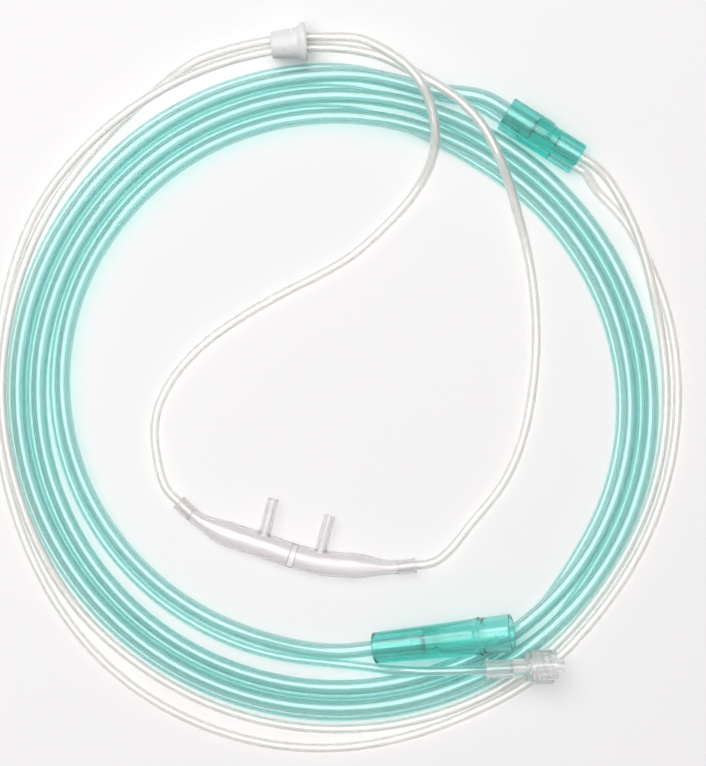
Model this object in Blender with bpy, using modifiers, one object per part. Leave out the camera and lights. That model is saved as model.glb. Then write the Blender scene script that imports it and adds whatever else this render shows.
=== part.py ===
"""Nasal cannula set for oxygen with a breath sampling line, coiled as it comes out of its bag.

Units are metres, +Z is up and the set lies on the plane z = 0.
"""

import math

import bmesh
import bpy
import numpy as np
from mathutils import Matrix, Vector

MM = 0.001

# The layout's own centre, set so that the set's box is centred on the origin.
LAYOUT = Vector((1.7, 1.8, 0))


def place(x, y, z=0.0):
    """A point of the layout, given in millimetres from the coil's middle."""
    return (Vector((x, y, z)) + LAYOUT) * MM


# The four tubes.
OXYGEN_TUBE_R = 2.5 * MM
SAMPLING_TUBE_R = 1.5 * MM
LARIAT_TUBE_R = 1.6 * MM

# Room left between neighbours, and the play of a tube in its socket.
GAP = 0.3 * MM
SOCKET_PLAY = 0.3 * MM
BORE_SEGMENTS = 24

# The coil: a spiral round its own centre, a little out of round.
COIL_CENTRE = place(-0.96, -4.66)
COIL_R = 104.6 * MM
COIL_PITCH = 6.6 * MM
COIL_OVAL = 1.07 * MM
COIL_OVAL_TURN = math.radians(-22)
COIL_LOBES = 0.33 * MM
COIL_LOBES_TURN = math.radians(-18)
COIL_START = 72
COIL_END = 972
COIL_STEP = 12
TAIL_START = 870
TAIL_DROP = 5.6 * MM
LAY_OFFSET = 2.9 * MM
LAY_CROSSING = 15
LAY_INSIDE = 45
LAY_OUTSIDE = 80

# Split connector, where one oxygen tube and one sampling tube meet the two lariat tubes.
SPLIT_HEADING = math.radians(-32)
SPLIT_COLLAR_R = 4.8 * MM
SPLIT_COLLAR_LENGTH = 16 * MM
SPLIT_BARREL_R = 4.05 * MM
SPLIT_LENGTH = 27.6 * MM
SPLIT_SOCKET_DEPTH = 10.5 * MM
SPLIT_LOWER_R = 2.95 * MM
SPLIT_LOWER_SIDE = -3.3 * MM
SPLIT_LOWER_DROP = OXYGEN_TUBE_R + 1.4 * MM
SPLIT_LOWER_START = 0.2 * MM
LOWER_SOCKET_DEPTH = 7 * MM
LARIAT_SOCKET_DEPTH = 9 * MM
PASSAGE_R = 1.0 * MM
SPLIT_MOUTH = place(52.7, 86.9, (SPLIT_LOWER_DROP + SPLIT_LOWER_R) / MM + 0.05)

# Slider, a cone with a finger flange; it runs on the round stretch of the lariat.
SLIDER_CENTRE = place(-7.2, 6.8, 6.45)
SLIDER_PATH_R = 102 * MM
SLIDER_ANGLE = 95.5
SLIDER_LENGTH = 11.5 * MM
SLIDER_TAIL_R = 4.3 * MM
SLIDER_HEAD_R = 5.0 * MM
SLIDER_FLANGE_R = 6.4 * MM
SLIDER_FLANGE_THICK = 1.6 * MM
LARIAT_SPACING = 3.5 * MM
SLIDER_PLAY = 0.36 * MM

# Funnel connector on the oxygen tube.
FUNNEL_TAIL = place(10.2, -84.7, 5.4)
FUNNEL_HEADING = math.radians(7.3)
FUNNEL_RISE = math.radians(11.8)
FUNNEL_LENGTH = 45 * MM
FUNNEL_TAIL_R = 5.0 * MM
FUNNEL_MOUTH_R = 6.1 * MM
FUNNEL_SHOULDER = 34.5 * MM
FUNNEL_SHOULDER_WIDE = 0.45 * MM
FUNNEL_SOCKET_DEPTH = 17 * MM
FUNNEL_THROAT_R = 2.0 * MM
FUNNEL_THROAT_END = 20 * MM
FUNNEL_WALL = 1.3 * MM

# Luer fitting on the sampling tube.
LUER_TAIL = place(45.4, -91.0, 11.9)
LUER_HEADING = math.radians(2.3)
LUER_RISE = math.radians(-4)
LUER_RIM_R = 3.5 * MM
LUER_RIM_LENGTH = 1.6 * MM
LUER_BODY_R = 2.9 * MM
LUER_FLANGE_START = 13 * MM
LUER_FLANGE_LENGTH = 1.2 * MM
LUER_FLANGE_R = 4.8 * MM
LUER_NECK_R = 2.5 * MM
LUER_STOP_START = 17.2 * MM
LUER_STOP_R = 3.1 * MM
LUER_STOP_LENGTH = 1.0 * MM
LUER_TIP_BASE_R = 2.2 * MM
LUER_TIP_END_R = 1.97 * MM
LUER_LENGTH = 25.4 * MM
LUER_SOCKET_DEPTH = 9 * MM
LUER_BORE_R = 0.9 * MM
LUER_COLLAR_START = 14.6 * MM
LUER_COLLAR_END = 22.9 * MM
LUER_COLLAR_R = 5.1 * MM
LUER_COLLAR_BORE_R = 3.9 * MM
LUER_COLLAR_LIP = 1.8 * MM
LUER_RIBS = 12
LUER_RIB_HIGH = 0.35 * MM
LUER_RIB_WIDE = 0.9 * MM

# Nasal piece: a soft bow with a neck at each end and two prongs.
NASAL_HEIGHT = 3.4
NASAL_LINE = (
    place(-52.3, -38.0, NASAL_HEIGHT),
    place(-46.7, -43.1, NASAL_HEIGHT),
    place(-37.5, -48.0, NASAL_HEIGHT),
    place(-27.3, -51.4, NASAL_HEIGHT),
    place(-16.7, -55.0, NASAL_HEIGHT),
    place(-5.5, -57.7, NASAL_HEIGHT),
    place(7.3, -58.7, NASAL_HEIGHT),
    place(15.6, -59.1, NASAL_HEIGHT),
    place(23.6, -58.4, NASAL_HEIGHT),
)
NASAL_NECK_R = 2.35 * MM
NASAL_BODY_WIDE = 4.1 * MM
NASAL_BODY_HIGH = 3.3 * MM
NASAL_NECK_SHARE = 0.09
NASAL_SWELL_SHARE = 0.16
NASAL_SOCKET_DEPTH = 6 * MM
PRONG_R = 1.95 * MM
PRONG_BORE_R = 1.15 * MM
PRONG_PLACES = (0.377, 0.61)
PRONG_LENGTH = 15.5 * MM
PRONG_HEADING = math.radians(75.5)
PRONG_RISE = math.radians(6)
PRONG_BORE_DEPTH = 13.5 * MM

# Routes of the lariat tubes, chosen by hand. Round the coil: angle, distance from the round
# middle and height. Over the coil to the nasal piece: x, y and height. Distances are millimetres.
ROUND_MIDDLE = (-1.25, -3.9)
OXYGEN_LARIAT_ROUND = (
    (40.5, 110.2, 6.6), (35, 109.9, 6.0), (30, 108.9, 5.6), (25.5, 107.8, 5.2), (20, 106.5, 4.7),
    (13, 105.5, 3.0), (5, 105.2, 1.95), (-8, 105.3, 1.7), (-22, 105.3, 1.65), (-36, 105.3, 1.65),
    (-47, 106.0, 1.65), (-57, 107.0, 1.65), (-66, 107.3, 1.65), (-76, 107.2, 1.65),
    (-88, 107.1, 1.65), (-101, 107.2, 1.65), (-114, 107.3, 1.65), (-127, 107.4, 1.75),
    (-139, 107.9, 2.1), (-150, 107.5, 3.6), (-162, 107.0, 5.0), (-176, 107.4, 5.1),
    (-188, 107.8, 5.1), (-200, 108.6, 4.4), (-213, 109.9, 2.6), (-220, 110.5, 1.8),
    (-227, 111.3, 1.65), (-234, 112.5, 2.1), (-241, 114.3, 3.3),
)
SAMPLING_LARIAT_ROUND = (
    (40, 105.9, 2.4), (33.5, 106.9, 1.8), (27.4, 107.9, 1.65), (20, 108.5, 1.65),
    (10, 108.9, 1.65), (-1, 108.9, 1.65), (-12, 108.9, 1.65), (-24, 108.9, 1.65),
    (-36, 108.9, 1.65), (-47, 109.6, 1.65), (-57, 110.5, 1.65), (-66, 110.5, 1.65),
    (-76, 111.3, 1.65), (-88, 112.8, 1.65), (-101, 114.0, 1.65), (-114, 114.4, 1.65),
    (-127, 114.2, 1.65), (-139, 113.0, 1.65), (-151, 111.3, 1.65), (-163, 110.1, 1.65),
    (-176, 109.7, 1.65), (-188, 110.2, 1.65), (-200, 111.6, 1.8), (-213, 113.3, 2.9),
    (-220, 113.3, 4.1), (-227, 113.1, 5.0), (-234, 112.8, 5.9), (-241, 112.5, 7.4),
)
OXYGEN_LARIAT_FREE = (
    (5.6, 109.8, 7.2), (12.5, 106.6, 9.4), (19.8, 101.4, 12.4), (24.6, 95.9, 13.0),
    (27.8, 89.5, 11.8), (29.4, 82.5, 10.6), (29.6, 76.0, 8.6), (27.2, 67.8, 5.0),
    (22.7, 60.2, 2.6), (14.2, 50.6, 1.75), (3.8, 41.3, 1.65), (-14.5, 31.0, 1.65),
    (-31.1, 21.8, 1.65), (-45.2, 11.6, 1.65), (-55.2, 0.0, 1.65), (-59.8, -11.8, 1.65),
    (-59.0, -25.6, 2.2),
)
SAMPLING_LARIAT_FREE = (
    (4.6, 106.2, 6.5), (12.2, 104.3, 6.6), (20.0, 100.6, 8.6), (28.7, 95.9, 10.2),
    (36.6, 90.6, 10.4), (42.0, 85.4, 10.4), (46.2, 79.5, 10.4), (49.4, 73.2, 10.4),
    (52.8, 65.0, 8.4), (56.2, 54.0, 5.0), (59.4, 42.0, 2.6), (61.6, 28.4, 1.65),
    (62.3, 14.0, 1.65), (60.9, -3.6, 1.65), (57.4, -19.5, 1.65), (50.7, -33.6, 1.65),
    (39.6, -47.4, 2.0),
)
SAMPLING_CLIMB = (
    (-12.0, -88.9, 1.6), (2.0, -90.3, 2.1), (12.0, -91.3, 4.7), (21.5, -91.7, 8.5),
    (31.5, -91.6, 10.7),
)
LARIAT_ARC = range(112, 87, -4)
COIL_STRETCH = 24 * MM
LARIAT_STRETCH = 14 * MM


def smooth_route(points, stretch):
    """Points on a natural cubic spline through the route's own points, at most a stretch apart."""
    knots = np.array([tuple(p) for p in points], float)
    t = np.concatenate([[0], np.cumsum(np.linalg.norm(np.diff(knots, axis=0), axis=1))])
    h = np.diff(t)
    matrix = np.eye(len(t))
    right = np.zeros_like(knots)
    for i in range(1, len(t) - 1):
        matrix[i, i - 1:i + 2] = h[i - 1], 2 * (h[i - 1] + h[i]), h[i]
        right[i] = 6 * ((knots[i + 1] - knots[i]) / h[i] - (knots[i] - knots[i - 1]) / h[i - 1])
    bend = np.linalg.solve(matrix, right)
    found = []
    for i, reach in enumerate(h):
        count = max(1, math.ceil(reach / stretch))
        for b in np.arange(count) / count:
            a = 1 - b
            pull = ((a ** 3 - a) * bend[i] + (b ** 3 - b) * bend[i + 1]) * reach ** 2 / 6
            found.append(a * knots[i] + b * knots[i + 1] + pull)
    found.append(knots[-1])
    return np.array(found)


def material(name, colour, roughness):
    made = bpy.data.materials.new(name)
    made.use_nodes = True
    shader = made.node_tree.nodes["Principled BSDF"]
    shader.inputs["Base Color"].default_value = (*colour, 1)
    shader.inputs["Roughness"].default_value = roughness
    made.diffuse_color = (*colour, 1)
    return made


def add_object(name, mesh, collection, finish=None):
    made = bpy.data.objects.new(name, mesh)
    collection.objects.link(made)
    if finish:
        made.data.materials.append(finish)
    return made


def along(origin, heading, rise=0.0):
    """The frame whose X runs from origin along a heading on the table and a rise above it."""
    turn = Matrix.Rotation(heading, 4, "Z") @ Matrix.Rotation(-rise, 4, "Y")
    return Matrix.Translation(origin) @ turn


def turned(name, profile, frame, collection, finish=None, segments=40):
    """A solid of revolution round its frame's X axis, from (distance, radius) pairs."""
    mesh = bpy.data.meshes.new(name)
    rows = [(x, 0.0, r) for x, r in profile]
    mesh.from_pydata(rows, [(i, i + 1) for i in range(len(rows) - 1)], [])
    made = add_object(name, mesh, collection, finish)
    made.matrix_world = frame
    screw = made.modifiers.new("turn", "SCREW")
    screw.axis = "X"
    screw.steps = segments
    screw.render_steps = segments
    screw.use_merge_vertices = True
    screw.merge_threshold = 0.00001
    screw.use_normal_flip = True
    return made


def rod(name, start, end, radius, frame, collection, segments=BORE_SEGMENTS):
    """A closed cylinder on its frame's X axis, used as a cutter or as a solid to join."""
    mesh = bpy.data.meshes.new(name)
    shape = bmesh.new()
    spin = Matrix.Rotation(math.radians(90), 4, "Y")
    stand = Matrix.Translation(((start + end) / 2, 0, 0)) @ spin
    bmesh.ops.create_cone(shape, cap_ends=True, segments=segments, radius1=radius,
                          radius2=radius, depth=end - start, matrix=stand)
    bmesh.ops.recalc_face_normals(shape, faces=shape.faces)
    shape.to_mesh(mesh)
    shape.free()
    made = add_object(name, mesh, collection)
    made.matrix_world = frame
    return made


def boolean(target, other, operation):
    cut = target.modifiers.new(operation.lower(), "BOOLEAN")
    cut.operation = operation
    cut.object = other
    cut.solver = "EXACT"


def tube(name, points, radius, collection, finish, resolution=2):
    curve = bpy.data.curves.new(name, "CURVE")
    curve.dimensions = "3D"
    curve.bevel_depth = radius
    curve.bevel_resolution = resolution
    curve.use_fill_caps = True
    curve.twist_mode = "MINIMUM"
    spline = curve.splines.new("POLY")
    spline.points.add(len(points) - 1)
    for knot, point in zip(spline.points, points):
        knot.co = (*point, 1)
    return add_object(name, curve, collection, finish)


def smoothstep(x):
    x = min(max(x, 0.0), 1.0)
    return x * x * (3 - 2 * x)


def lay_offset(angle):
    """How far outside the oxygen tube the sampling tube lies; it crosses under to the inner side."""
    away = abs((angle - LAY_CROSSING + 180) % 360 - 180)
    outside = smoothstep((away - LAY_INSIDE) / (LAY_OUTSIDE - LAY_INSIDE))
    return LAY_OFFSET * (2 * outside - 1)


def coil_points():
    """Both green tubes at equal angles: the thin one on the table, the thick one riding on it."""
    reach = OXYGEN_TUBE_R + SAMPLING_TUBE_R + GAP
    floor = SAMPLING_TUBE_R + 0.05 * MM
    thick = []
    thin = []
    for angle in range(COIL_START, COIL_END + 1, COIL_STEP):
        turn = math.radians(angle)
        radius = COIL_R - COIL_PITCH * (angle - 60) / 360
        radius += COIL_OVAL * math.cos(2 * (turn - COIL_OVAL_TURN))
        radius += COIL_LOBES * math.cos(3 * (turn - COIL_LOBES_TURN))
        tail = smoothstep((angle - TAIL_START) / (COIL_END - TAIL_START))
        radius -= TAIL_DROP * tail
        offset = lay_offset(angle)
        height = floor + math.sqrt(reach ** 2 - offset ** 2)
        offset += 1.6 * MM * tail
        out = Vector((math.cos(turn), math.sin(turn), 0))
        thick.append(COIL_CENTRE + out * radius + Vector((0, 0, height)))
        thin.append(COIL_CENTRE + out * (radius + offset) + Vector((0, 0, floor)))
    return thick, thin


def split_point(distance, side=0.0, drop=0.0):
    return along(SPLIT_MOUTH, SPLIT_HEADING) @ Vector((distance, side, -drop))


def route_round(rows):
    found = []
    for angle, radius, height in rows:
        turn = math.radians(angle)
        x = ROUND_MIDDLE[0] + radius * math.cos(turn)
        y = ROUND_MIDDLE[1] + radius * math.sin(turn)
        found.append(place(x, y, height))
    return found


def slider_arc(radius):
    found = []
    for angle in LARIAT_ARC:
        turn = math.radians(angle)
        found.append(SLIDER_CENTRE + Vector((math.cos(turn), math.sin(turn), 0)) * radius)
    return found


def nasal_line(count):
    """Points at equal steps along the bow."""
    fine = smooth_route(NASAL_LINE, 0.05 * MM)
    length = np.cumsum(np.linalg.norm(np.diff(fine, axis=0, prepend=fine[:1]), axis=1))
    steps = np.linspace(0, length[-1], count)
    return np.stack([np.interp(steps, length, fine[:, k]) for k in range(3)], axis=1)


def nasal_end(side):
    """Mouth of a neck and the direction that its tube leaves in."""
    line = nasal_line(101)
    inner, outer = (line[5], line[0]) if side < 0 else (line[95], line[100])
    return Vector(outer), Vector(outer - inner).normalized()


def make_tubes(parts, green, clear):
    thick, thin = coil_points()
    start = [split_point(d) for d in (SPLIT_SOCKET_DEPTH - GAP, 5 * MM, 0, -6 * MM)]
    funnel = along(FUNNEL_TAIL, FUNNEL_HEADING, FUNNEL_RISE)
    seat = FUNNEL_SOCKET_DEPTH - GAP
    end = [funnel @ Vector((x, 0, 0)) for x in (-8 * MM, -1 * MM, 6 * MM, seat)]
    route = smooth_route(start + thick + end, COIL_STRETCH)
    tube("oxygen_tube", route, OXYGEN_TUBE_R, parts, green, 3)

    lower = (SPLIT_LOWER_SIDE, SPLIT_LOWER_DROP)
    seat = SPLIT_LOWER_START + LOWER_SOCKET_DEPTH - GAP
    start = [split_point(d, *lower) for d in (seat, 3 * MM, -1 * MM, -7 * MM)]
    luer = along(LUER_TAIL, LUER_HEADING, LUER_RISE)
    climb = [place(*row) for row in SAMPLING_CLIMB]
    seat = LUER_SOCKET_DEPTH - GAP
    end = [luer @ Vector((x, 0, 0)) for x in (-6 * MM, -0.5 * MM, 4 * MM, seat)]
    route = smooth_route(start + thin + climb + end, COIL_STRETCH)
    tube("sampling_tube", route, SAMPLING_TUBE_R, parts, green)

    ends = {
        "oxygen_lariat_tube": (0.0, 0.0, 0.5, OXYGEN_LARIAT_ROUND, OXYGEN_LARIAT_FREE, -1),
        "sampling_lariat_tube": (*lower, -0.5, SAMPLING_LARIAT_ROUND, SAMPLING_LARIAT_FREE, 1),
    }
    for name, (side, drop, lane, rounds, free, neck) in ends.items():
        seat = SPLIT_LENGTH - LARIAT_SOCKET_DEPTH + GAP
        leave = (seat, SPLIT_LENGTH - 3 * MM, SPLIT_LENGTH, SPLIT_LENGTH + 4 * MM)
        start = [split_point(d, side, drop) for d in leave]
        arc = slider_arc(SLIDER_PATH_R + lane * LARIAT_SPACING)
        mouth, leaving = nasal_end(neck)
        last = [mouth + leaving * d for d in (4 * MM, 0.5 * MM, GAP - NASAL_SOCKET_DEPTH)]
        over = [place(*row) for row in free]
        route = smooth_route(start + route_round(rounds) + arc + over + last, LARIAT_STRETCH)
        tube(name, route, LARIAT_TUBE_R, parts, clear)


def make_split_connector(parts, cutters, finish):
    frame = along(SPLIT_MOUTH, SPLIT_HEADING)
    round_off = 0.5 * MM
    profile = [
        (0, 0), (0, SPLIT_COLLAR_R), (SPLIT_COLLAR_LENGTH - 1.2 * MM, SPLIT_COLLAR_R),
        (SPLIT_COLLAR_LENGTH, SPLIT_BARREL_R), (SPLIT_LENGTH - round_off, SPLIT_BARREL_R),
        (SPLIT_LENGTH, SPLIT_BARREL_R - round_off), (SPLIT_LENGTH, 0),
    ]
    body = turned("split_connector", profile, frame, parts, finish)
    lower = along(split_point(0, SPLIT_LOWER_SIDE, SPLIT_LOWER_DROP), SPLIT_HEADING)
    branch = rod("lower_barrel", SPLIT_LOWER_START, SPLIT_LENGTH - 0.2 * MM, SPLIT_LOWER_R,
                 lower, cutters, 32)
    boolean(body, branch, "UNION")
    over = 1 * MM
    seat = SPLIT_LENGTH - LARIAT_SOCKET_DEPTH
    bores = (
        (frame, -over, SPLIT_SOCKET_DEPTH, OXYGEN_TUBE_R + SOCKET_PLAY),
        (frame, SPLIT_SOCKET_DEPTH - over, seat + over, PASSAGE_R),
        (frame, seat, SPLIT_LENGTH + over, LARIAT_TUBE_R + SOCKET_PLAY),
        (lower, SPLIT_LOWER_START - over, SPLIT_LOWER_START + LOWER_SOCKET_DEPTH,
         SAMPLING_TUBE_R + SOCKET_PLAY),
        (lower, SPLIT_LOWER_START + LOWER_SOCKET_DEPTH - over, seat + over, PASSAGE_R * 0.8),
        (lower, seat, SPLIT_LENGTH + over, LARIAT_TUBE_R + SOCKET_PLAY),
    )
    for number, (axis, start, end, radius) in enumerate(bores):
        bore = rod(f"split_bore_{number}", start, end, radius, axis, cutters)
        boolean(body, bore, "DIFFERENCE")


def make_slider(parts, cutters, finish):
    turn = math.radians(SLIDER_ANGLE)
    middle = SLIDER_CENTRE + Vector((math.cos(turn), math.sin(turn), 0)) * SLIDER_PATH_R
    heading = turn - math.pi / 2
    frame = along(middle, heading)
    half = SLIDER_LENGTH / 2
    neck = half - SLIDER_FLANGE_THICK
    profile = [
        (-half, 0), (-half, SLIDER_TAIL_R), (neck - 1.2 * MM, SLIDER_HEAD_R),
        (neck - 0.3 * MM, SLIDER_HEAD_R + 0.5 * MM), (neck, SLIDER_FLANGE_R - 0.2 * MM),
        (neck + 0.3 * MM, SLIDER_FLANGE_R), (half, SLIDER_FLANGE_R - 0.3 * MM), (half, 0),
    ]
    body = turned("slider", profile, frame, parts, finish)
    sag = half ** 2 / (2 * SLIDER_PATH_R)
    for lane in (-1, 1):
        side = lane * LARIAT_SPACING / 2 - sag / 2
        bore = rod(f"slider_bore_{lane + 1}", -half - 1 * MM, half + 1 * MM,
                   LARIAT_TUBE_R + SLIDER_PLAY, frame @ Matrix.Translation((0, side, 0)), cutters)
        boolean(body, bore, "DIFFERENCE")


def make_funnel(parts, finish):
    frame = along(FUNNEL_TAIL, FUNNEL_HEADING, FUNNEL_RISE)
    slope = (FUNNEL_MOUTH_R - FUNNEL_TAIL_R) / FUNNEL_LENGTH

    def outside(x):
        return FUNNEL_TAIL_R + slope * x

    ring = FUNNEL_SHOULDER
    bump = FUNNEL_SHOULDER_WIDE
    mouth = FUNNEL_MOUTH_R - FUNNEL_WALL
    profile = [
        (0, OXYGEN_TUBE_R + SOCKET_PLAY), (0, FUNNEL_TAIL_R), (ring - 1.2 * MM, outside(ring)),
        (ring, outside(ring) + bump), (ring + 1.2 * MM, outside(ring)),
        (FUNNEL_LENGTH, FUNNEL_MOUTH_R), (FUNNEL_LENGTH, mouth),
        (ring + 1 * MM, mouth - 0.5 * MM), (ring, mouth - 1.1 * MM),
        (FUNNEL_THROAT_END + 2 * MM, mouth - 2.0 * MM), (FUNNEL_THROAT_END, FUNNEL_THROAT_R),
        (FUNNEL_SOCKET_DEPTH, FUNNEL_THROAT_R),
        (FUNNEL_SOCKET_DEPTH, OXYGEN_TUBE_R + SOCKET_PLAY),
        (0, OXYGEN_TUBE_R + SOCKET_PLAY),
    ]
    turned("oxygen_funnel", profile, frame, parts, finish)


def make_luer(parts, cutters, finish):
    frame = along(LUER_TAIL, LUER_HEADING, LUER_RISE)
    socket = SAMPLING_TUBE_R + SOCKET_PLAY
    flange = LUER_FLANGE_START
    stop = LUER_STOP_START
    profile = [
        (0, socket), (0, LUER_RIM_R), (LUER_RIM_LENGTH, LUER_RIM_R),
        (LUER_RIM_LENGTH, LUER_BODY_R), (flange, LUER_BODY_R), (flange, LUER_FLANGE_R),
        (flange + LUER_FLANGE_LENGTH, LUER_FLANGE_R),
        (flange + LUER_FLANGE_LENGTH, LUER_NECK_R), (stop, LUER_NECK_R), (stop, LUER_STOP_R),
        (stop + LUER_STOP_LENGTH, LUER_STOP_R), (stop + LUER_STOP_LENGTH, LUER_TIP_BASE_R),
        (LUER_LENGTH, LUER_TIP_END_R), (LUER_LENGTH, LUER_BORE_R),
        (LUER_SOCKET_DEPTH, LUER_BORE_R), (LUER_SOCKET_DEPTH, socket), (0, socket),
    ]
    turned("luer_body", profile, frame, parts, finish)

    start = LUER_COLLAR_START
    lip = start + LUER_COLLAR_LIP
    hole = LUER_NECK_R + GAP
    profile = [
        (start, hole), (start, LUER_COLLAR_R - 0.5 * MM), (start + 0.5 * MM, LUER_COLLAR_R),
        (LUER_COLLAR_END - 0.3 * MM, LUER_COLLAR_R), (LUER_COLLAR_END, LUER_COLLAR_R - 0.3 * MM),
        (LUER_COLLAR_END, LUER_COLLAR_BORE_R), (lip, LUER_COLLAR_BORE_R), (lip, hole),
        (start, hole),
    ]
    collar = turned("luer_collar", profile, frame, parts, finish)
    for number in range(LUER_RIBS):
        spin = Matrix.Rotation(2 * math.pi * number / LUER_RIBS, 4, "X")
        mesh = bpy.data.meshes.new(f"luer_rib_{number}")
        shape = bmesh.new()
        bmesh.ops.create_cube(shape, size=1)
        shape.to_mesh(mesh)
        shape.free()
        rib = add_object(f"luer_rib_{number}", mesh, cutters)
        long = LUER_COLLAR_END - start - 2.4 * MM
        deep = 0.8 * MM
        middle = (start + LUER_COLLAR_END) / 2
        stand = Matrix.Translation((middle, 0, LUER_COLLAR_R + LUER_RIB_HIGH - deep / 2))
        rib.matrix_world = frame @ spin @ stand @ Matrix.Diagonal((long, LUER_RIB_WIDE, deep, 1))
        boolean(collar, rib, "UNION")


def make_nasal_piece(parts, cutters, finish):
    """A loft of ellipses along the bow; its ducts and prong bores stop short of the septum."""
    sections = 41
    sides = 24
    line = nasal_line(sections)
    ahead = np.gradient(line, axis=0)
    ahead /= np.linalg.norm(ahead, axis=1)[:, None]
    across = np.cross((0, 0, 1), ahead)
    share = np.linspace(0, 1, sections)
    inner = np.clip((np.minimum(share, 1 - share) - NASAL_NECK_SHARE) / NASAL_SWELL_SHARE, 0, 1)
    swell = inner * inner * (3 - 2 * inner)
    wide = NASAL_NECK_R + (NASAL_BODY_WIDE - NASAL_NECK_R) * swell
    high = NASAL_NECK_R + (NASAL_BODY_HIGH - NASAL_NECK_R) * swell
    turn = np.linspace(0, 2 * np.pi, sides, endpoint=False)
    rings = line[:, None] + (wide[:, None] * np.cos(turn))[..., None] * across[:, None]
    rings = rings + (high[:, None] * np.sin(turn))[..., None] * np.array((0, 0, 1.0))
    shape = bmesh.new()
    grid = [[shape.verts.new(point) for point in ring] for ring in rings]
    for a, b in zip(grid, grid[1:]):
        for i in range(sides):
            shape.faces.new((a[i], a[(i + 1) % sides], b[(i + 1) % sides], b[i]))
    shape.faces.new(grid[0])
    shape.faces.new(grid[-1])
    bmesh.ops.recalc_face_normals(shape, faces=shape.faces)
    mesh = bpy.data.meshes.new("nasal_piece")
    shape.to_mesh(mesh)
    shape.free()
    body = add_object("nasal_piece", mesh, parts, finish)

    for side, share in zip((-1, 1), PRONG_PLACES):
        root = Vector(nasal_line(201)[round(share * 200)])
        frame = along(root, PRONG_HEADING, PRONG_RISE)
        prong = rod(f"prong_{side + 1}", 0.4 * MM, PRONG_LENGTH, PRONG_R, frame, cutters)
        boolean(body, prong, "UNION")
    for side, share in zip((-1, 1), PRONG_PLACES):
        root = Vector(nasal_line(201)[round(share * 200)])
        frame = along(root, PRONG_HEADING, PRONG_RISE)
        start = PRONG_LENGTH - PRONG_BORE_DEPTH
        bore = rod(f"prong_bore_{side + 1}", start, PRONG_LENGTH + 1 * MM, PRONG_BORE_R, frame,
                   cutters, 16)
        boolean(body, bore, "DIFFERENCE")
        mouth, leaving = nasal_end(side)
        heading = math.atan2(-leaving.y, -leaving.x)
        frame = along(mouth, heading)
        socket = rod(f"neck_socket_{side + 1}", -1 * MM, NASAL_SOCKET_DEPTH,
                     LARIAT_TUBE_R + SOCKET_PLAY, frame, cutters)
        boolean(body, socket, "DIFFERENCE")


def main():
    for leftover in list(bpy.data.objects):
        bpy.data.objects.remove(leftover, do_unlink=True)
    parts = bpy.data.collections.new("nasal_cannula_set")
    cutters = bpy.data.collections.new("cutters")
    for collection in (parts, cutters):
        bpy.context.scene.collection.children.link(collection)
    cutters.hide_render = True

    green_tube = material("green_tube", (0.30, 0.68, 0.65), 0.25)
    green_moulding = material("green_moulding", (0.05, 0.50, 0.46), 0.2)
    clear_tube = material("clear_tube", (0.85, 0.86, 0.85), 0.2)
    milky_slider = material("milky_slider", (0.88, 0.88, 0.87), 0.4)
    clear_moulding = material("clear_moulding", (0.90, 0.92, 0.92), 0.1)
    clear_rigid = material("clear_rigid", (0.92, 0.94, 0.94), 0.1)

    make_tubes(parts, green_tube, clear_tube)
    make_split_connector(parts, cutters, green_moulding)
    make_slider(parts, cutters, milky_slider)
    make_funnel(parts, green_moulding)
    make_luer(parts, cutters, clear_rigid)
    make_nasal_piece(parts, cutters, clear_moulding)
    for helper in cutters.objects:
        helper.hide_render = True
        helper.display_type = "WIRE"


main()
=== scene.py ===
"""Dual-line nasal cannula set, coiled on a white table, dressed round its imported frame.

Lengths are metres. +Z is up, +Y runs from the nasal piece to the slider, and +X towards the
split connector. The file follows the set from the oxygen tube to the nose and to the monitor.
"""

import math

import bpy
import numpy as np
from mathutils import Matrix, Vector


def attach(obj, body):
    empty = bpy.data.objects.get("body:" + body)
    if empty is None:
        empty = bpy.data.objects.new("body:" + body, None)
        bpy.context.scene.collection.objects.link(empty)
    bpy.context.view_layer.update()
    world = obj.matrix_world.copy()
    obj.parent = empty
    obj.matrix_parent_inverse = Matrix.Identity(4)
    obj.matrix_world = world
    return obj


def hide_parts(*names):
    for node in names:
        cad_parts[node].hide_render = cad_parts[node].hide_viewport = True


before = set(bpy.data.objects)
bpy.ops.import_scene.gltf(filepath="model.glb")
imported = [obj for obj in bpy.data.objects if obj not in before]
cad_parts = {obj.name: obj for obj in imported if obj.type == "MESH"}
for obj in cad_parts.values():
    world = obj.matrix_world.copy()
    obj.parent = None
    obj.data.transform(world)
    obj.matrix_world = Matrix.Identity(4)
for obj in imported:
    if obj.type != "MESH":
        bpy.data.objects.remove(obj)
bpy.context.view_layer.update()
scene = bpy.context.scene

# ---------------------------------------------------------------------------------------------
# Camera. A long lens straight above the table, so that the coil is seen square on and the
# fittings show no lean.
VIEW_CENTRE = (0.0052, 0.0018)
VIEW_LONG_SIDE = 0.2451
LENS = 150.0
SENSOR = 36.0
VIEW_PLANE = 0.004

camera_data = bpy.data.cameras.new("camera")
camera_data.lens = LENS
camera_data.sensor_width = SENSOR
camera_data.clip_end = 50
camera = bpy.data.objects.new("camera", camera_data)
camera.location = (*VIEW_CENTRE, VIEW_PLANE + LENS * VIEW_LONG_SIDE / SENSOR)
scene.collection.objects.link(camera)
scene.camera = camera

# ---------------------------------------------------------------------------------------------
# Oxygen tube. Soft green-tinted vinyl, extruded as a round hollow tube and wound into a flat
# coil. It is glued into the split connector at one end and into the funnel at the other.
MM = 0.001
LAYOUT = np.array((1.7, 1.8, 0.0))


def place(*points):
    """Points of the layout in metres, from millimetres about the coil's middle."""
    return (np.array(points, float).reshape(-1, 3) + LAYOUT) * MM


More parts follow.
